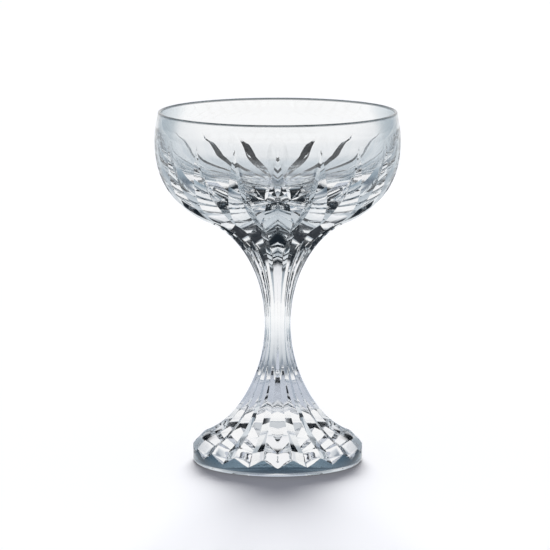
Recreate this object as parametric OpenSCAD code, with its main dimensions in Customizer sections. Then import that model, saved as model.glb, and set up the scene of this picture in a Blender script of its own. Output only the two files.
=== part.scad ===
// Cut crystal coupe glass: a bowl, a stem and a foot of clear crystal fused end to end,
// with long V grooves cut from below the rim, down the stem and out over the foot.
// Millimetres, +Z up. The origin is the centre of the face the foot rests on.

/* [Overall] */
// Height of the rim above the table
glass_h = 158.4; // [156:0.1:164]
// How far under the turn of the bowl the stem is fused to it
bowl_joint_drop = 5.3; // [3:0.1:14]
// Height of the plane where the stem is fused to the foot
foot_joint_z = 23.5; // [21:0.5:30]

/* [Bowl] */
// Radius of the bowl at its widest
bowl_r = 55.1; // [52:0.1:58]
// Depth of the bowl's widest part below the rim
wide_drop = 13.4; // [12:0.1:15]
// Outer radius at the rim
rim_r = 53.5; // [52.5:0.1:54.5]
// Length of the rim curve's upright start
rim_pull = 5.3; // [4:0.1:7]
// Radius where the bowl turns under into the stem and the grooves meet
knuckle_r = 33.6; // [32:0.1:36]
// Depth from the widest part to where the bowl turns under
knuckle_drop = 34.7; // [33.5:0.1:36]
// Slope of the outside where the bowl turns under
knuckle_angle = 23; // [19:0.5:28]
// Fullness of the bowl's side
side_pull = 23.7; // [21:0.1:25]
// Fullness of the bowl's underside
under_pull = 5.7; // [4:0.1:8]

/* [Bowl inside] */
// Wall thickness at the rim
rim_wall = 1.5; // [1.2:0.1:1.8]
// How much smaller the inside is than the outside, each at its widest
side_wall = 1.7; // [1.4:0.1:2]
// Height of the inside's widest part above the outside's
inside_rise = 5; // [4:0.1:6]
// Length of the upright start of the inside below the rim
lip_pull = 3; // [2:0.1:4]
// Depth of the floor inside the bowl below the outside's widest part
floor_drop = 25.5; // [24:0.1:28]
// Fullness of the inside wall
inside_pull = 28.5; // [26:0.1:31]
// Width of the even middle of the inside floor
floor_pull = 26.3; // [22:0.1:30]
// Slope of the inside floor down towards the middle
floor_angle = 2.3; // [1:0.1:4]

/* [Stem] */
// Radius of the stem at its waist
waist_r = 5.75; // [5.2:0.05:7]
// Height of the waist
waist_z = 62; // [58:0.5:66]
// Spread of the flare just under the bowl
flare_pull = 17.1; // [14:0.1:20]
// Straight length of the stem above the waist
upper_pull = 24.2; // [20:0.1:27]
// Straight length of the stem below the waist
lower_pull = 22.8; // [19:0.1:26]

/* [Foot] */
// Radius of the foot
foot_r = 38.2; // [37:0.1:41]
// Height of the foot's edge before the grooves are cut
edge_z = 7.4; // [6.8:0.1:8.5]
// How far in from the edge the top of the foot starts to round over
shoulder_in = 3.7; // [3:0.1:4.5]
// Rise of the rounded shoulder above the edge
shoulder_up = 3.8; // [3.2:0.1:4.4]
// Spread of the foot's upper curve
spread_pull = 17; // [15:0.1:20]
// Slope of the foot's top at the shoulder
spread_angle = 22; // [18:0.5:26]
// Roundness of the shoulder where it starts
shoulder_pull = 1.2; // [0.8:0.1:1.6]
// Roundness of the shoulder where it meets the edge
edge_pull = 0.7; // [0.4:0.1:1]
// Slope of the shoulder where it meets the edge
edge_angle = 68; // [60:1:74]
// Chamfer round the face the foot rests on
base_chamfer = 0.8; // [0.4:0.1:1.2]

/* [Grooves] */
// Where the grooves begin, as a share of the curve from the widest part up to the rim
tip_at = 0.24; // [0.22:0.01:0.3]
// How slowly a groove widens from its tip
tip_taper = 1.25; // [1:0.05:1.4]
// Number of grooves round the glass
groove_count = 18; // [16:1:20]
// Depth of a groove where the bowl turns under, as a share of half its width
bowl_depth_share = 0.62; // [0.4:0.01:0.7]
// How fast a groove deepens below its tip
tip_deepening = 0.9; // [0.8:0.05:1.2]
// Depth of a groove on the stem, as a share of half its width
stem_depth_share = 0.4; // [0.2:0.01:0.6]
// Depth of a groove on the foot, as a share of half its width
foot_depth_share = 0.36; // [0.2:0.01:0.45]
// Slope at which a groove leaves the foot's edge
run_angle = 42; // [36:1:48]

/* [Hidden] */
// How far the cutting wheel's side and its back stand clear of the surface
cut_over = 0.4;
cut_reach = 3;
// Where grooves meet, each is this much wider than its pitch, so the ridge between is sharp
meet_share = 1.025;
// How far a groove runs on past the foot's edge, and how high it starts above the bowl's side
run_out = 5;
tip_lift = 0.35;
tip_share = 0.03;
// Steps along the curves: of the uncut outline, then of a groove
side_steps = 18;
flare_steps = 17;
spread_steps = 18;
shoulder_steps = 5;
rim_steps = 5;
lip_steps = 8;
inside_steps = 18;
groove_tip_steps = 2;
groove_side_steps = 15;
groove_flare_steps = 14;
groove_spread_steps = 14;
round_steps = 160;
// Points of a groove's line that it takes in above and below the piece it is cut in
points_before = 3;
points_after = 2;

half_pitch = 180 / groove_count;
midway = 0.5;
quarter_turn = 90;
half_turn = 180;
lip_r = rim_wall / 2;
wide_z = glass_h - wide_drop;
knuckle_z = wide_z - knuckle_drop;
bowl_joint_z = knuckle_z - bowl_joint_drop;
inside_r = bowl_r - side_wall;
inside_z = wide_z + inside_rise;
floor_z = wide_z - floor_drop;
shoulder_r = foot_r - shoulder_in;
shoulder_z = edge_z + shoulder_up;
crystal = [0.86, 0.9, 0.92, 0.6];

// A point on a cubic curve with end points a, d and pulls b, c
function curve(a, b, c, d, t) =
    let (s = 1 - t)
    s * s * s * a + 3 * s * s * t * b + 3 * s * t * t * c + t * t * t * d;

// The direction with unit length that runs at an angle below the outward level
function slope(angle) = [cos(angle), -sin(angle)];

function bowl_side(t) = curve(
    [bowl_r, wide_z],
    [bowl_r, wide_z - side_pull],
    [knuckle_r, knuckle_z] + under_pull * slope(-knuckle_angle),
    [knuckle_r, knuckle_z],
    t
);

function upper_stem(t) = curve(
    [knuckle_r, knuckle_z],
    [knuckle_r, knuckle_z] - flare_pull * slope(-knuckle_angle),
    [waist_r, waist_z + upper_pull],
    [waist_r, waist_z],
    t
);

function lower_stem(t) = curve(
    [waist_r, waist_z],
    [waist_r, waist_z - lower_pull],
    [shoulder_r, shoulder_z] - spread_pull * slope(spread_angle),
    [shoulder_r, shoulder_z],
    t
);

function shoulder(t) = curve(
    [shoulder_r, shoulder_z],
    [shoulder_r, shoulder_z] + shoulder_pull * slope(spread_angle),
    [foot_r, edge_z] - edge_pull * slope(edge_angle),
    [foot_r, edge_z],
    t
);

function rim_side(t) = curve(
    [bowl_r, wide_z],
    [bowl_r, wide_z + rim_pull],
    [rim_r, glass_h - lip_r - lip_r],
    [rim_r, glass_h - lip_r],
    t
);

function inside_wall(t) = curve(
    [inside_r, inside_z],
    [inside_r, inside_z - inside_pull],
    [0, floor_z] + floor_pull * slope(-floor_angle),
    [0, floor_z],
    t
);

function inside_rim(t) = curve(
    [inside_r, inside_z],
    [inside_r, inside_z + lip_pull],
    [rim_r - rim_wall, glass_h - lip_r - lip_r],
    [rim_r - rim_wall, glass_h - lip_r],
    t
);

// The outside of the uncut glass from its widest part down to the foot's edge
outside = concat(
    [for (i = [0:side_steps - 1]) bowl_side(i / side_steps)],
    [for (i = [0:flare_steps - 1]) upper_stem(i / flare_steps)],
    [for (i = [0:spread_steps - 1]) lower_stem(i / spread_steps)],
    [for (i = [0:shoulder_steps]) shoulder(i / shoulder_steps)]
);
edge_at = len(outside) - 1;

// The middle line of a groove before it is sunk in, point by point between the outline's own
groove_line = concat(
    [for (i = [groove_tip_steps:-1:1]) rim_side(tip_at * i / groove_tip_steps)],
    [for (i = [0:groove_side_steps - 1]) bowl_side((i + midway) / groove_side_steps)],
    [for (i = [0:groove_flare_steps - 1]) upper_stem((i + midway) / groove_flare_steps)],
    [for (i = [0:groove_spread_steps - 1]) lower_stem((i + midway) / groove_spread_steps)],
    [shoulder(midway / shoulder_steps), shoulder(midway), shoulder(1)]
);
last = len(groove_line) - 1;
tip_z = groove_line[0][1];
knuckle_at = groove_tip_steps + groove_side_steps - midway;
waist_at = knuckle_at + groove_flare_steps;

// The direction along the groove at each of its points, and the outward normal there
function unit(v) = v / norm(v);
function along(i) =
    i > last - 2 ? slope(run_angle)
    : unit(groove_line[i + 1] - groove_line[max(i - 1, 0)]);
function outward(i) = [-along(i)[1], along(i)[0]];

// How far a groove has opened from its tip to where the grooves meet, and half the angle it takes up
function opened_share(i) = (tip_z - groove_line[i][1]) / (tip_z - knuckle_z);
function groove_angle(i) =
    half_pitch * min(meet_share, max(tip_share, pow(opened_share(i), tip_taper) * meet_share));

function blend(a, b, t) = a + (b - a) * t;
function deepened(closed) = min(bowl_depth_share, tip_deepening * (1 - closed * closed));
function depth_share(i) =
    i <= knuckle_at ? deepened(1 - opened_share(i))
    : i <= waist_at ? blend(bowl_depth_share, stem_depth_share, (i - knuckle_at) / groove_flare_steps)
    : blend(stem_depth_share, foot_depth_share, (i - waist_at) / (last - waist_at));

// One section of the wheel's path: valley, right edge, far side and left edge
function section(p, n, angle, deep) =
    let (
        side = [p[0] * cos(angle), p[0] * sin(angle), p[1]],
        valley = [side[0] - deep * n[0], 0, p[1] - deep * n[1]],
        over = cut_over * unit(side - valley)
    )
    [
        valley,
        side + over,
        [p[0] + cut_reach * n[0], 0, p[1] + cut_reach * n[1]],
        [side[0] + over[0], -side[1] - over[1], side[2] + over[2]]
    ];

// A groove starts just clear of the bowl's side, so its tip runs out to a point
function depth(i) =
    depth_share(i) * groove_line[i][0] * sin(groove_angle(i)) - (i == 0 ? tip_lift : 0);
function section_at(i) = section(groove_line[i], outward(i), groove_angle(i), depth(i));

// Beyond the foot's edge the groove runs straight on
function run_on() =
    [for (c = section_at(last)) c + run_out * [along(last)[0], 0, along(last)[1]]];

module groove(first, final) {
    sections = concat(
        [for (i = [first:min(final, last)]) section_at(i)],
        final > last ? [run_on()] : []
    );
    sides = len(sections[0]);
    steps = len(sections) - 1;
    walls = [
        for (i = [0:steps - 1])
            for (k = [0:sides - 1])
                let (
                    a = i * sides + k,
                    b = i * sides + (k + 1) % sides,
                    c = a + sides,
                    d = b + sides
                )
                each k < sides / 2 ? [[a, d, b], [a, c, d]] : [[a, c, b], [c, d, b]]
    ];
    caps = [
        [for (k = [0:sides - 1]) k],
        [for (k = [sides - 1:-1:0]) steps * sides + k]
    ];
    polyhedron(points = [for (s = sections) each s], faces = concat(walls, caps));
}

module grooves(first, final) {
    for (k = [0:groove_count - 1]) {
        rotate([0, 0, k * (half_pitch + half_pitch) - quarter_turn])
            groove(first, final);
    }
}

// The whole uncut glass as one outline, inside and out
blank_outline = concat(
    [
        [0, 0],
        [foot_r - base_chamfer, 0],
        [foot_r, base_chamfer]
    ],
    [for (i = [edge_at:-1:0]) outside[i]],
    [for (i = [1:rim_steps]) rim_side(i / rim_steps)],
    [
        for (i = [1:lip_steps - 1])
            let (turn = half_turn * i / lip_steps)
            [rim_r - lip_r + lip_r * cos(turn), glass_h - lip_r + lip_r * sin(turn)]
    ],
    [for (i = [rim_steps:-1:0]) inside_rim(i / rim_steps)],
    [for (i = [1:inside_steps]) inside_wall(i / inside_steps)]
);

module blank(low_z, high_z) {
    rotate_extrude($fn = round_steps)
        intersection() {
            polygon(blank_outline);
            translate([0, low_z])
                square([bowl_r + bowl_r, high_z - low_z]);
        }
}

// The first point of a groove's line below a height
function below(z, i = 0) = groove_line[i][1] < z ? i : below(z, i + 1);

module bowl() {
    color(crystal)
        difference() {
            blank(bowl_joint_z, glass_h + rim_wall);
            grooves(0, below(bowl_joint_z) + points_after);
        }
}

module stem() {
    color(crystal)
        difference() {
            blank(foot_joint_z, bowl_joint_z);
            grooves(below(bowl_joint_z) - points_before, below(foot_joint_z) + points_after);
        }
}

module foot() {
    color(crystal)
        difference() {
            blank(0, foot_joint_z);
            grooves(below(foot_joint_z) - points_before, last + 1);
        }
}

bowl();
stem();
foot();
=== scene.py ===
"""Cut crystal coupe glass: the clear bowl, stem and foot with their V grooves, in a white studio."""

import math

import bmesh
import bpy
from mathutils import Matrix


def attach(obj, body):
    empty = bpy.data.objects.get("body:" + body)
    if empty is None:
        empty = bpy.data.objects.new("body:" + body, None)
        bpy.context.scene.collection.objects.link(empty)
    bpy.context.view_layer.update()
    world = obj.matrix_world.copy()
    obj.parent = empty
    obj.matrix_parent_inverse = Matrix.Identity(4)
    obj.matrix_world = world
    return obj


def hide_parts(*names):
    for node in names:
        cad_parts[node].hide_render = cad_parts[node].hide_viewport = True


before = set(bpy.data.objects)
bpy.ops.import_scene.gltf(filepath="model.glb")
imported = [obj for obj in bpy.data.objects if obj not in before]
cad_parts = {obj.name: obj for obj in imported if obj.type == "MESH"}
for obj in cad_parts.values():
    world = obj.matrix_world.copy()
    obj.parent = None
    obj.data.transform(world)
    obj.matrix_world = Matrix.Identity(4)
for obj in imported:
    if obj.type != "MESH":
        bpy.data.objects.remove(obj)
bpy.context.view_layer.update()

MM = 0.001

# The sizes of the part, in millimetres
GLASS_H, BOWL_R, WIDE_Z, RIM_R, RIM_PULL = 158.4, 55.1, 145.0, 53.5, 5.3
KNUCKLE_R, KNUCKLE_Z, KNUCKLE_ANGLE = 33.6, 110.3, 23.0
SIDE_PULL, UNDER_PULL, FLARE_PULL = 23.7, 5.7, 17.1
RIM_WALL, SIDE_WALL, INSIDE_Z, INSIDE_PULL, LIP_PULL = 1.5, 1.7, 150.0, 28.5, 3.0
FLOOR_Z, FLOOR_PULL, FLOOR_ANGLE = 119.5, 26.3, 2.3
WAIST_R, WAIST_Z, UPPER_PULL, LOWER_PULL = 5.75, 62.0, 24.2, 22.8
FOOT_R, EDGE_Z, SHOULDER_IN, SHOULDER_UP = 38.2, 7.4, 3.7, 3.8
SPREAD_PULL, SPREAD_ANGLE, SHOULDER_PULL, EDGE_PULL, EDGE_ANGLE = 17.0, 22.0, 1.2, 0.7, 68.0
BASE_CHAMFER, RUN_ANGLE = 0.8, 42.0
BOWL_JOINT_Z, FOOT_JOINT_Z = 105.0, 23.5
GROOVES = 18
TIP_AT, TIP_DEEPENING, TIP_TAPER = 0.24, 0.9, 1.25
BOWL_DEPTH, STEM_DEPTH, FOOT_DEPTH = 0.62, 0.4, 0.36
RIDGE_LAND = 0.3
LIP_R = RIM_WALL / 2
INSIDE_R = BOWL_R - SIDE_WALL
SHOULDER_R, SHOULDER_Z = FOOT_R - SHOULDER_IN, EDGE_Z + SHOULDER_UP
HALF_PITCH = math.pi / GROOVES

# The fine mesh: the rings of each stretch of the outline, how far down the foot's edge and how far in
# under the base its rings lie, and a groove's columns
CURVE_STEPS = 400
INSIDE_RINGS, INSIDE_RIM_RINGS, LIP_RINGS, RIM_RINGS, RIM_EVEN_RINGS = 70, 16, 12, 18, 4
TIP_RINGS, SIDE_RINGS, FLARE_RINGS, SPREAD_RINGS, SHOULDER_RINGS, TURNING_RINGS = 8, 90, 120, 110, 10, 6
EDGE_SHARES, BASE_SHARES = (0.3, 0.6, 0.85, 1.0), (0.75, 0.5, 0.25, 0.08)
SIDE_COLS, LAND_COLS = 4, 6
PITCH_COLS = 2 * SIDE_COLS + LAND_COLS
# A groove's half width in radians at its very tip, and how soon its valley leaves the surface there
TIP_HALF_ANGLE, TIP_SINKING = 0.0025, 40
SAME_TURN, ON_PLANE = 1e-9, 1e-7
# A hair narrower, so that the fine mesh stays inside the coarser solids' box
INSIDE_BOX = 0.9997

# The crystal's colour, and the painted shade that darkens it towards its outline, at the lip and round the
# foot's edge. Each band is two heights in metres, from none of its painted shade to all of it. UPRIGHT is
# the same for how level a face lies, FRONT_SIDE for which side of it is met
GLASS_IOR = 1.55
CORD_SCALE, CORD_DETAIL = 16.0, 3.0
CLEAR_STOPS = ((0.3, (0.99, 0.994, 0.997)), (0.7, (0.998, 0.999, 1.0)))
# Painted shade by how edge-on a face is seen: darker and bluer towards the outline
OUTLINE_PAINTED_SHADE_STOPS = (
    (0.2, (1.0, 1.0, 1.0)),
    (0.4, (0.95, 0.965, 0.975)),
    (0.52, (0.62, 0.68, 0.72)),
    (0.75, (0.46, 0.53, 0.58)),
)
LIP_BAND, LIP_PAINTED_SHADE = (0.1572, 0.1578), (0.18, 0.2, 0.21, 1)
FOOT_BAND, BASE_BAND, FOOT_PAINTED_SHADE = (0.0078, 0.007), (0.0012, 0.0018), (0.03, 0.06, 0.09, 1)
UPRIGHT, FRONT_SIDE = (0.5, 0.4), (0.9, 0.1)

# What lights the glass, and what is seen in and through it
WHITE = (1, 1, 1, 1)
AMBIENT, FLOOR_GLOW = (0.16, 0.17, 0.215, 1), 0.1
LAMP_POWER, LAMP_SIZE, LAMP_TILT, LAMP_SPREAD = 2.88, 18.0, 71.0, 9.0
FLOOR_REACH, FLOOR_SQUARES, FLOOR_DROP, PAPER = 12.0, 8, 0.0001, (0.86, 0.86, 0.87, 1)
# The floor that glass sees, by its distance from the axis, in metres: painted shadow, grey under the foot,
# white at its edge, dark in a ring beyond, fading to white far off
FLOOR_PAINTED_SHADOW_STOPS = (
    (0.0, (0.56, 0.6, 0.68)),
    (0.035, (0.56, 0.6, 0.68)),
    (0.039, (1.0, 1.0, 1.0)),
    (0.05, (1.0, 1.0, 1.0)),
    (0.06, (0.24, 0.28, 0.33)),
    (0.072, (0.22, 0.26, 0.31)),
    (0.085, (0.42, 0.46, 0.5)),
    (0.1, (0.58, 0.62, 0.66)),
    (0.14, (0.7, 0.73, 0.76)),
    (0.22, (0.86, 0.88, 0.9)),
    (0.5, (0.98, 0.985, 0.99)),
    (1.2, (1.0, 1.0, 1.0)),
)
# Painted shade on the floor that glass sees, darker to its sides: (from, to) pairs by distance, and by how
# straight behind they lie
SIDE_PAINTED_SHADE, SIDE_AWAY, SIDE_BEHIND = (0.46, 0.55, 0.61, 1), (0.037, 0.06), (0.97, 0.6)
FAR_PAINTED_SHADE, FAR_AWAY, FAR_BEHIND = (0.1, 0.1, 0.1, 1), (0.12, 0.2), (0.84, 0.74)
# The walls, from straight in front at -1 to straight behind at 1
ROUND_STOPS = (
    (-1.0, (0.58, 0.61, 0.64)),
    (-0.4, (0.54, 0.57, 0.6)),
    (0.05, (0.26, 0.29, 0.32)),
    (0.25, (0.08, 0.1, 0.12)),
    (0.5, (0.1, 0.13, 0.16)),
    (0.8, (0.45, 0.5, 0.55)),
    (0.94, (0.95, 0.95, 0.97)),
    (1.0, (1.0, 1.0, 1.0)),
)
# The dark ceiling by a direction's height, and the narrow panel in it behind the glass
CEILING, CEILING_UP = (0.003, 0.005, 0.008, 1), (0.36, 0.46)
PANEL, PANEL_UP, PANEL_BEHIND = (0.62, 0.65, 0.68, 1), (0.68, 0.6), (0.955, 0.985)

# The photograph's viewpoint, and how often light may bounce
CAMERA_AT, CAMERA_DOWN = (-0.0012, -1.6463, 0.3513), 9.21
CAMERA_SENSOR, CAMERA_LENS = 36, 243.2
BOUNCES, GLASS_BOUNCES, GLOSS_BOUNCES = 24, 20, 12


def curve(a, b, c, d, t):
    """The point at share t of a cubic curve from a to d."""
    s = 1 - t
    w = (s * s * s, 3 * s * s * t, 3 * s * t * t, t * t * t)
    return tuple(sum(k * p[i] for k, p in zip(w, (a, b, c, d))) for i in (0, 1))


def slope(degrees):
    """A unit direction, outward and this many degrees down."""
    a = math.radians(degrees)
    return math.cos(a), -math.sin(a)


def shifted(p, v, k):
    return p[0] + k * v[0], p[1] + k * v[1]


KNUCKLE = (KNUCKLE_R, KNUCKLE_Z)
SHOULDER = (SHOULDER_R, SHOULDER_Z)
WAIST = (WAIST_R, WAIST_Z)
WIDE = (BOWL_R, WIDE_Z)
UP_OUT = slope(-KNUCKLE_ANGLE)
BOWL_SIDE = (WIDE, (BOWL_R, WIDE_Z - SIDE_PULL), shifted(KNUCKLE, UP_OUT, UNDER_PULL), KNUCKLE)
UPPER_STEM = (KNUCKLE, shifted(KNUCKLE, UP_OUT, -FLARE_PULL), (WAIST_R, WAIST_Z + UPPER_PULL), WAIST)
LOWER_STEM = (
    WAIST,
    (WAIST_R, WAIST_Z - LOWER_PULL),
    shifted(SHOULDER, slope(SPREAD_ANGLE), -SPREAD_PULL),
    SHOULDER,
)
ROUND = (
    SHOULDER,
    shifted(SHOULDER, slope(SPREAD_ANGLE), SHOULDER_PULL),
    shifted((FOOT_R, EDGE_Z), slope(EDGE_ANGLE), -EDGE_PULL),
    (FOOT_R, EDGE_Z),
)
RIM_SIDE = (WIDE, (BOWL_R, WIDE_Z + RIM_PULL), (RIM_R, GLASS_H - 2 * LIP_R), (RIM_R, GLASS_H - LIP_R))
INSIDE_WALL = (
    (INSIDE_R, INSIDE_Z),
    (INSIDE_R, INSIDE_Z - INSIDE_PULL),
    shifted((0.0, FLOOR_Z), slope(-FLOOR_ANGLE), FLOOR_PULL),
    (0.0, FLOOR_Z),
)
INSIDE_RIM = (
    (INSIDE_R, INSIDE_Z),
    (INSIDE_R, INSIDE_Z + LIP_PULL),
    (RIM_R - RIM_WALL, GLASS_H - 2 * LIP_R),
    (RIM_R - RIM_WALL, GLASS_H - LIP_R),
)

TIP_Z = curve(*RIM_SIDE, TIP_AT)[1]


def sample(points, n, ends=(True, True), start=0.0, stop=1.0):
    """Evenly spaced points along a curve, by length, with the directions there."""
    span = stop - start
    fine = [curve(*points, start + span * i / CURVE_STEPS) for i in range(CURVE_STEPS + 1)]
    run = [0.0]
    for p, q in zip(fine, fine[1:]):
        run.append(run[-1] + math.dist(p, q))
    out, k = [], 0
    for i in range(0 if ends[0] else 1, n + 1 if ends[1] else n):
        want = run[-1] * i / n
        while k < CURVE_STEPS - 1 and run[k + 1] < want:
            k += 1
        f = (want - run[k]) / (run[k + 1] - run[k])
        a, b = fine[k], fine[k + 1]
        d = (b[0] - a[0], b[1] - a[1])
        size = math.hypot(*d)
        out.append(((a[0] + f * d[0], a[1] + f * d[1]), (d[0] / size, d[1] / size)))
    return out


def opened_at(z):
    """How much of its full width a groove has at a height, from its tip down to the bowl's turn."""
    return min(1.0, max(0.0, (TIP_Z - z) / (TIP_Z - KNUCKLE_Z)))


def stations():
    """The groove's path from its tip to the foot's edge: point, direction and depth share."""
    out = []
    side = sample(RIM_SIDE, TIP_RINGS, (True, False), TIP_AT, 0.0) + sample(BOWL_SIDE, SIDE_RINGS)
    flare = sample(UPPER_STEM, FLARE_RINGS, (False, True))
    spread = sample(LOWER_STEM, SPREAD_RINGS, (False, True))
    for p, d in side:
        closed = 1 - opened_at(p[1])
        out.append((p, d, min(BOWL_DEPTH, TIP_DEEPENING * (1 - closed * closed))))
    for i, (p, d) in enumerate(flare):
        f = (i + 1) / len(flare)
        out.append((p, d, BOWL_DEPTH + (STEM_DEPTH - BOWL_DEPTH) * f))
    for i, (p, d) in enumerate(spread):
        f = (i + 1) / len(spread)
        out.append((p, d, STEM_DEPTH + (FOOT_DEPTH - STEM_DEPTH) * f))
    run = slope(RUN_ANGLE)
    last = spread[-1][1]
    for i, (p, _) in enumerate(sample(ROUND, SHOULDER_RINGS, (False, True))):
        f = min(1.0, (i + 1) / TURNING_RINGS)
        mix = (last[0] + (run[0] - last[0]) * f, last[1] + (run[1] - last[1]) * f)
        size = math.hypot(*mix)
        out.append((p, (mix[0] / size, mix[1] / size), FOOT_DEPTH))
    return out


def pitch_ring(p, d, share):
    """One groove's columns at a station, its valley, two sides and the ridge beyond, before it is turned."""
    opened = opened_at(p[1])
    full = HALF_PITCH - math.asin(RIDGE_LAND / 2 / p[0])
    angle = max(opened**TIP_TAPER * full, TIP_HALF_ANGLE)
    side = (p[0] * math.cos(angle), p[0] * math.sin(angle), p[1])
    deep = share * side[1]
    sag = min(1.0, opened * TIP_SINKING)
    top = p[0] + (side[0] - p[0]) * sag
    n = (-d[1], d[0])
    valley = (top - deep * n[0], 0.0, p[1] - deep * n[1])
    cols = []
    for k in range(SIDE_COLS + 1):
        f = k / SIDE_COLS
        cols.append(tuple(valley[i] + (side[i] - valley[i]) * f for i in range(3)))
    land = 2 * (HALF_PITCH - angle)
    for k in range(1, LAND_COLS):
        a = angle + land * k / LAND_COLS
        cols.append((p[0] * math.cos(a), p[0] * math.sin(a), p[1]))
    a = 2 * HALF_PITCH
    for k in range(SIDE_COLS, 0, -1):
        x, y, z = cols[k]
        cols.append((x * math.cos(a) + y * math.sin(a), x * math.sin(a) - y * math.cos(a), z))
    return cols


def full_ring(cols):
    """A groove's columns repeated all round."""
    out = []
    for g in range(GROOVES):
        a = 2 * HALF_PITCH * g - math.pi / 2
        c, s = math.cos(a), math.sin(a)
        out += [(x * c - y * s, x * s + y * c, z) for x, y, z in cols]
    return out


def plain_ring(r, z, angles):
    return [(r * math.cos(a), r * math.sin(a), z) for a in angles]


def turn_of(ring):
    """The columns' turns about the axis, rising all the way round."""
    out = [math.atan2(ring[0][1], ring[0][0])]
    for x, y, _ in ring[1:]:
        a = math.atan2(y, x)
        while a < out[-1] - SAME_TURN:
            a += 2 * math.pi
        out.append(a)
    return out


def skin():
    """Every ring of the glass from the middle of the floor inside, over the rim and down to the base."""
    path = stations()
    cut = [full_ring(pitch_ring(*s)) for s in path]
    n = len(cut[0])
    start = turn_of(cut[0])
    even = [start[0] + 2 * math.pi * k / n for k in range(n)]
    rings = []
    inside = [p for p, _ in sample(INSIDE_WALL, INSIDE_RINGS)]
    for r, z in reversed(inside[:-1]):
        rings.append(plain_ring(r, z, even))
    inside_rim = sample(INSIDE_RIM, INSIDE_RIM_RINGS, (False, True))
    rings += [plain_ring(r, z, even) for (r, z), _ in inside_rim]
    for k in range(1, LIP_RINGS):
        a = math.pi * (1 - k / LIP_RINGS)
        r, z = RIM_R - LIP_R + LIP_R * math.cos(a), GLASS_H - LIP_R + LIP_R * math.sin(a)
        rings.append(plain_ring(r, z, even))
    # the even columns of the rim move over to the grooves' columns below it
    rim = [p for p, _ in sample(RIM_SIDE, RIM_RINGS, start=TIP_AT)]
    for k, (r, z) in enumerate(reversed(rim[1:])):
        f = max(0.0, (k - RIM_EVEN_RINGS) / (RIM_RINGS - RIM_EVEN_RINGS))
        f = f * f * (3 - 2 * f)
        rings.append(plain_ring(r, z, [e + (s - e) * f for e, s in zip(even, start)]))
    first_cut = len(rings)
    rings += cut
    # the grooves run out through the upright edge of the foot
    c, s = slope(RUN_ANGLE)
    edge = []
    for g in range(GROOVES):
        a = 2 * HALF_PITCH * g - math.pi / 2
        for k, (x, y, z) in enumerate(cut[-1][g * PITCH_COLS : (g + 1) * PITCH_COLS]):
            t = a if k <= PITCH_COLS / 2 else a + 2 * HALF_PITCH
            u, v = math.cos(t), math.sin(t)
            along, across = x * u + y * v, y * u - x * v
            reach = max(0.0, (math.sqrt(max(0.0, FOOT_R**2 - across**2)) - along) / c)
            edge.append((x + reach * c * u, y + reach * c * v, z + reach * s))
    rings.append(edge)
    edge_at = len(rings) - 1
    # the upright edge, the chamfer and the base
    turns = turn_of(edge)
    for f in EDGE_SHARES:
        down = [p[2] + (BASE_CHAMFER - p[2]) * f for p in edge]
        rings.append([(FOOT_R * math.cos(t), FOOT_R * math.sin(t), z) for t, z in zip(turns, down)])
    chamfer_at = len(rings) - 1
    rings.append(plain_ring(FOOT_R - BASE_CHAMFER, 0.0, turns))
    base_at = len(rings) - 1
    for f in BASE_SHARES:
        rings.append(plain_ring((FOOT_R - BASE_CHAMFER) * f, 0.0, turns))
    return rings, first_cut, (edge_at, chamfer_at, base_at)


def closed_mesh():
    """The whole glass, not yet parted, as one closed mesh: sharp along the grooves and the foot's edges."""
    rings, first_cut, creases = skin()
    n = len(rings[0])
    bm = bmesh.new()
    rows = [[bm.verts.new([c * MM for c in p]) for p in ring] for ring in rings]
    floor_mid = bm.verts.new((0, 0, FLOOR_Z * MM))
    base_mid = bm.verts.new((0, 0, 0))
    for a, b in zip(rows, rows[1:]):
        for k in range(n):
            j = (k + 1) % n
            bm.faces.new((a[k], b[k], b[j], a[j]))
    for k in range(n):
        j = (k + 1) % n
        bm.faces.new((rows[0][j], floor_mid, rows[0][k]))
        bm.faces.new((rows[-1][k], base_mid, rows[-1][j]))
    for e in bm.edges:
        e.smooth = True
    sharp = {k for k in range(n) if k % PITCH_COLS in (0, SIDE_COLS, PITCH_COLS - SIDE_COLS)}
    for i in range(first_cut, creases[0]):
        for k in sharp:
            bm.edges.get((rows[i][k], rows[i + 1][k])).smooth = False
    for i in creases:
        for k in range(n):
            bm.edges.get((rows[i][k], rows[i][(k + 1) % n])).smooth = False
    for f in bm.faces:
        f.smooth = True
    bm.normal_update()
    if bm.calc_volume(signed=True) < 0:
        bmesh.ops.reverse_faces(bm, faces=bm.faces[:])
    return bm


def cut_off(bm, z, keep_above):
    """Cuts the glass at a joint's plane and closes it there with a joint face."""
    geom = bm.verts[:] + bm.edges[:] + bm.faces[:]
    bmesh.ops.bisect_plane(
        bm,
        geom=geom,
        dist=ON_PLANE,
        plane_co=(0, 0, z),
        plane_no=(0, 0, 1),
        clear_inner=keep_above,
        clear_outer=not keep_above,
    )
    rim = [e for e in bm.edges if e.is_boundary]
    for e in rim:
        e.smooth = False
    made = bmesh.ops.contextual_create(bm, geom=rim)
    for f in made["faces"]:
        f.material_index = 1
        f.smooth = False
        if (f.normal.z > 0) == keep_above:
            f.normal_flip()


def new_object(name, bm):
    bm.normal_update()
    mesh = bpy.data.meshes.new(name)
    bm.to_mesh(mesh)
    bm.free()
    obj = bpy.data.objects.new(name, mesh)
    bpy.context.scene.collection.objects.link(obj)
    return obj


def node_tools(owner):
    """Clears an owner's node tree, and gives what adds nodes and links to it."""
    owner.use_nodes = True
    tree = owner.node_tree
    tree.nodes.clear()

    def add(kind, **values):
        node = tree.nodes.new(kind)
        for key, value in values.items():
            if key in node.inputs:
                node.inputs[key].default_value = value
            else:
                setattr(node, key, value)
        return node

    return add, tree.links.new


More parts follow.
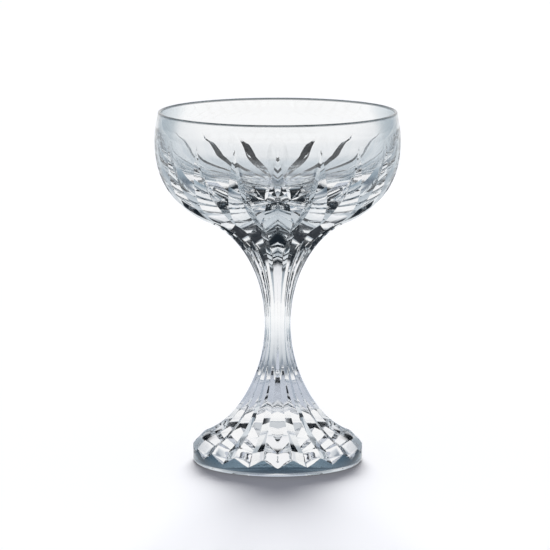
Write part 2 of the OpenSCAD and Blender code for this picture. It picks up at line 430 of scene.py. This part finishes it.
def ramp(tools, value, stops):
    """Colours along a value, each stop (value, (r, g, b))."""
    add, link = tools
    low, high = stops[0][0], stops[-1][0]
    share = add("ShaderNodeMapRange")
    share.inputs["From Min"].default_value = low
    share.inputs["From Max"].default_value = high
    node = add("ShaderNodeValToRGB")
    link(value, share.inputs["Value"])
    link(share.outputs[0], node.inputs["Fac"])
    points = node.color_ramp.elements
    while len(points) < len(stops):
        points.new(0.5)
    for point, (at, colour) in zip(points, stops):
        point.position = (at - low) / (high - low)
        point.color = (*colour, 1)
    return node.outputs["Color"]


def step(tools, value, off, on):
    """0 on the far side of off, 1 on the far side of on, smooth between. Either may be the larger."""
    add, link = tools
    node = add("ShaderNodeMapRange", interpolation_type="SMOOTHSTEP")
    node.inputs["From Min"].default_value = off
    node.inputs["From Max"].default_value = on
    link(value, node.inputs["Value"])
    return node.outputs[0]


def joined(tools, a, b, operation="MULTIPLY"):
    """One number from two, their product if nothing else is asked."""
    add, link = tools
    node = add("ShaderNodeMath", operation=operation)
    link(a, node.inputs[0])
    link(b, node.inputs[1])
    return node.outputs[0]


def mixed(tools, factor, a, b, blend="MIX"):
    """Colour a, turned towards colour b by a factor."""
    add, link = tools
    node = add("ShaderNodeMix", data_type="RGBA", blend_type=blend)
    for socket, value in ((node.inputs[0], factor), (node.inputs[6], a), (node.inputs[7], b)):
        if isinstance(value, (tuple, float)):
            socket.default_value = value
        else:
            link(value, socket)
    return node.outputs[2]


def tinted(tools, colour, tint):
    return mixed(tools, 1.0, colour, tint, "MULTIPLY")


def parts_of(tools, vector):
    """The X, Y and Z of a vector."""
    add, link = tools
    node = add("ShaderNodeSeparateXYZ")
    link(vector, node.inputs[0])
    return node.outputs


def round_from(tools, vector):
    """How far out a point or direction lies from the glass's axis, and how straight behind it."""
    add, link = tools
    flat = add("ShaderNodeVectorMath", operation="MULTIPLY")
    flat.inputs[1].default_value = (1, 1, 0)
    link(vector, flat.inputs[0])
    out = add("ShaderNodeVectorMath", operation="LENGTH")
    link(flat.outputs[0], out.inputs[0])
    unit = add("ShaderNodeVectorMath", operation="NORMALIZE")
    link(flat.outputs[0], unit.inputs[0])
    return out.outputs["Value"], parts_of(tools, unit.outputs[0])["Y"]


def crystal_material():
    """Clear glass with faint cords in it, and painted shade: darker and cooler towards its outline, at the
    lip and in a band round the foot's edge.
    """
    mat = bpy.data.materials.new("lead_crystal")
    tools = add, link = node_tools(mat)
    place = add("ShaderNodeTexCoord")
    height = parts_of(tools, place.outputs["Object"])["Z"]
    level = add("ShaderNodeMath", operation="ABSOLUTE")
    link(parts_of(tools, place.outputs["Normal"])["Z"], level.inputs[0])
    cords = add("ShaderNodeTexNoise", Scale=CORD_SCALE, Detail=CORD_DETAIL)
    link(place.outputs["Object"], cords.inputs["Vector"])
    facing = add("ShaderNodeLayerWeight", Blend=0.5)
    clear = ramp(tools, cords.outputs["Fac"], CLEAR_STOPS)
    # painted shade: darker and bluer where the glass is seen edge-on, towards its outline
    colour = tinted(tools, clear, ramp(tools, facing.outputs["Facing"], OUTLINE_PAINTED_SHADE_STOPS))
    # the foot's band of painted shade is on its upright faces, and only where light comes in from outside
    side = add("ShaderNodeNewGeometry").outputs["Backfacing"]
    band = joined(tools, step(tools, height, *FOOT_BAND), step(tools, height, *BASE_BAND))
    shown = joined(tools, step(tools, level.outputs[0], *UPRIGHT), step(tools, side, *FRONT_SIDE))
    # painted shade: a dark lip, by height
    lip = step(tools, height, *LIP_BAND)
    # the painted shade of the lip and the foot's band is multiplied into the glass's colour
    for mask, tint in ((lip, LIP_PAINTED_SHADE), (joined(tools, band, shown), FOOT_PAINTED_SHADE)):
        colour = mixed(tools, mask, colour, tinted(tools, colour, tint))
    out = add("ShaderNodeOutputMaterial")
    glass = add("ShaderNodeBsdfPrincipled", IOR=GLASS_IOR, Roughness=0.0)
    glass.inputs["Transmission Weight"].default_value = 1.0
    link(colour, glass.inputs["Base Color"])
    link(glass.outputs[0], out.inputs["Surface"])
    return mat


def joint_material():
    """The faces where two pieces are fused, which light passes as if they weren't there."""
    mat = bpy.data.materials.new("fused_joint")
    add, link = node_tools(mat)
    out = add("ShaderNodeOutputMaterial")
    clear = add("ShaderNodeBsdfTransparent")
    link(clear.outputs[0], out.inputs["Surface"])
    return mat


def glass_pieces():
    """The bowl, stem and foot, parted from one mesh at the two joints."""
    whole = closed_mesh()
    crystal, joint = crystal_material(), joint_material()
    for name, low, high in (
        ("bowl", BOWL_JOINT_Z, None),
        ("stem", FOOT_JOINT_Z, BOWL_JOINT_Z),
        ("foot", None, FOOT_JOINT_Z),
    ):
        piece = whole.copy()
        if low is not None:
            cut_off(piece, low * MM, True)
        if high is not None:
            cut_off(piece, high * MM, False)
        bmesh.ops.scale(piece, vec=(INSIDE_BOX, INSIDE_BOX, 1), verts=piece.verts)
        obj = new_object("crystal_" + name, piece)
        obj.data.materials.append(crystal)
        obj.data.materials.append(joint)
        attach(obj, "root")
        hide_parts(name)
    whole.free()


def floor_material():
    """Plain paper with the object's shadow. To glass it shows instead a floor with painted shadow: darker
    round the foot and to the sides.
    """
    mat = bpy.data.materials.new("studio_floor")
    tools = add, link = node_tools(mat)
    out = add("ShaderNodeOutputMaterial")
    paper = add("ShaderNodeBsdfDiffuse")
    paper.inputs["Color"].default_value = PAPER
    glow = add("ShaderNodeEmission", Strength=FLOOR_GLOW)
    plain = add("ShaderNodeAddShader")
    link(paper.outputs[0], plain.inputs[0])
    link(glow.outputs[0], plain.inputs[1])
    place = add("ShaderNodeTexCoord")
    away, behind = round_from(tools, place.outputs["Object"])
    # painted shadow: the floor that glass sees, darker round the foot by distance
    colour = ramp(tools, away, FLOOR_PAINTED_SHADOW_STOPS)
    # painted shade to the sides, near-black far off at the sides
    side_shade_mask = joined(tools, step(tools, behind, *SIDE_BEHIND), step(tools, away, *SIDE_AWAY))
    far = joined(tools, step(tools, away, *FAR_AWAY), step(tools, behind, *FAR_BEHIND))
    side_shade_mask = mixed(tools, far, side_shade_mask, FAR_PAINTED_SHADE)
    # glass sees this emission with its painted shadow, not the lit paper
    through = add("ShaderNodeEmission")
    link(mixed(tools, side_shade_mask, colour, tinted(tools, colour, SIDE_PAINTED_SHADE)), through.inputs["Color"])
    path = add("ShaderNodeLightPath").outputs
    both = add("ShaderNodeMixShader")
    link(joined(tools, path["Is Transmission Ray"], path["Is Glossy Ray"], "MAXIMUM"), both.inputs[0])
    link(plain.outputs[0], both.inputs[1])
    link(through.outputs[0], both.inputs[2])
    link(both.outputs[0], out.inputs["Surface"])
    return mat


def studio_floor():
    grid = bmesh.new()
    bmesh.ops.create_grid(grid, x_segments=FLOOR_SQUARES, y_segments=FLOOR_SQUARES, size=FLOOR_REACH)
    floor = new_object("studio_floor", grid)
    floor.location.z = -FLOOR_DROP
    floor.data.materials.append(floor_material())


def studio_world():
    """White to the camera, an even pale blue light on the floor, and coloured walls for the glass."""
    world = bpy.data.worlds.new("studio")
    bpy.context.scene.world = world
    tools = add, link = node_tools(world)
    out = add("ShaderNodeOutputWorld")
    back = add("ShaderNodeBackground")
    place = add("ShaderNodeTexCoord")
    _, behind = round_from(tools, place.outputs["Generated"])
    up = parts_of(tools, place.outputs["Generated"])["Z"]
    walls = ramp(tools, behind, ROUND_STOPS)
    in_panel = joined(tools, step(tools, up, *PANEL_UP), step(tools, behind, *PANEL_BEHIND))
    seen = mixed(tools, step(tools, up, *CEILING_UP), walls, mixed(tools, in_panel, CEILING, PANEL))
    path = add("ShaderNodeLightPath").outputs
    lit = mixed(tools, path["Is Diffuse Ray"], seen, AMBIENT)
    link(mixed(tools, path["Is Camera Ray"], lit, WHITE), back.inputs["Color"])
    link(back.outputs[0], out.inputs["Surface"])


def studio_lamps():
    """Three wide soft lamps behind the glass, side by side. They throw its shadow to the front."""
    for n in (-1, 0, 1):
        lamp_data = bpy.data.lights.new("key", "SUN")
        lamp_data.angle = math.radians(LAMP_SIZE)
        lamp_data.energy = LAMP_POWER
        lamp = bpy.data.objects.new("key", lamp_data)
        bpy.context.scene.collection.objects.link(lamp)
        lamp.rotation_euler = (math.radians(-LAMP_TILT), 0, math.radians(n * LAMP_SPREAD))
        lamp.visible_glossy = False
        lamp.visible_transmission = False


def camera():
    cam_data = bpy.data.cameras.new("camera")
    cam_data.sensor_width = CAMERA_SENSOR
    cam_data.lens = CAMERA_LENS
    cam = bpy.data.objects.new("camera", cam_data)
    bpy.context.scene.collection.objects.link(cam)
    cam.location = CAMERA_AT
    cam.rotation_euler = (math.radians(90 - CAMERA_DOWN), 0, 0)
    bpy.context.scene.camera = cam


glass_pieces()
studio_floor()
studio_world()
studio_lamps()
camera()

scene = bpy.context.scene
scene.view_settings.view_transform = "Standard"
scene.cycles.max_bounces = BOUNCES
scene.cycles.transmission_bounces = GLASS_BOUNCES
scene.cycles.glossy_bounces = GLOSS_BOUNCES
scene.cycles.transparent_max_bounces = BOUNCES
scene.cycles.caustics_refractive = False
scene.cycles.caustics_reflective = False
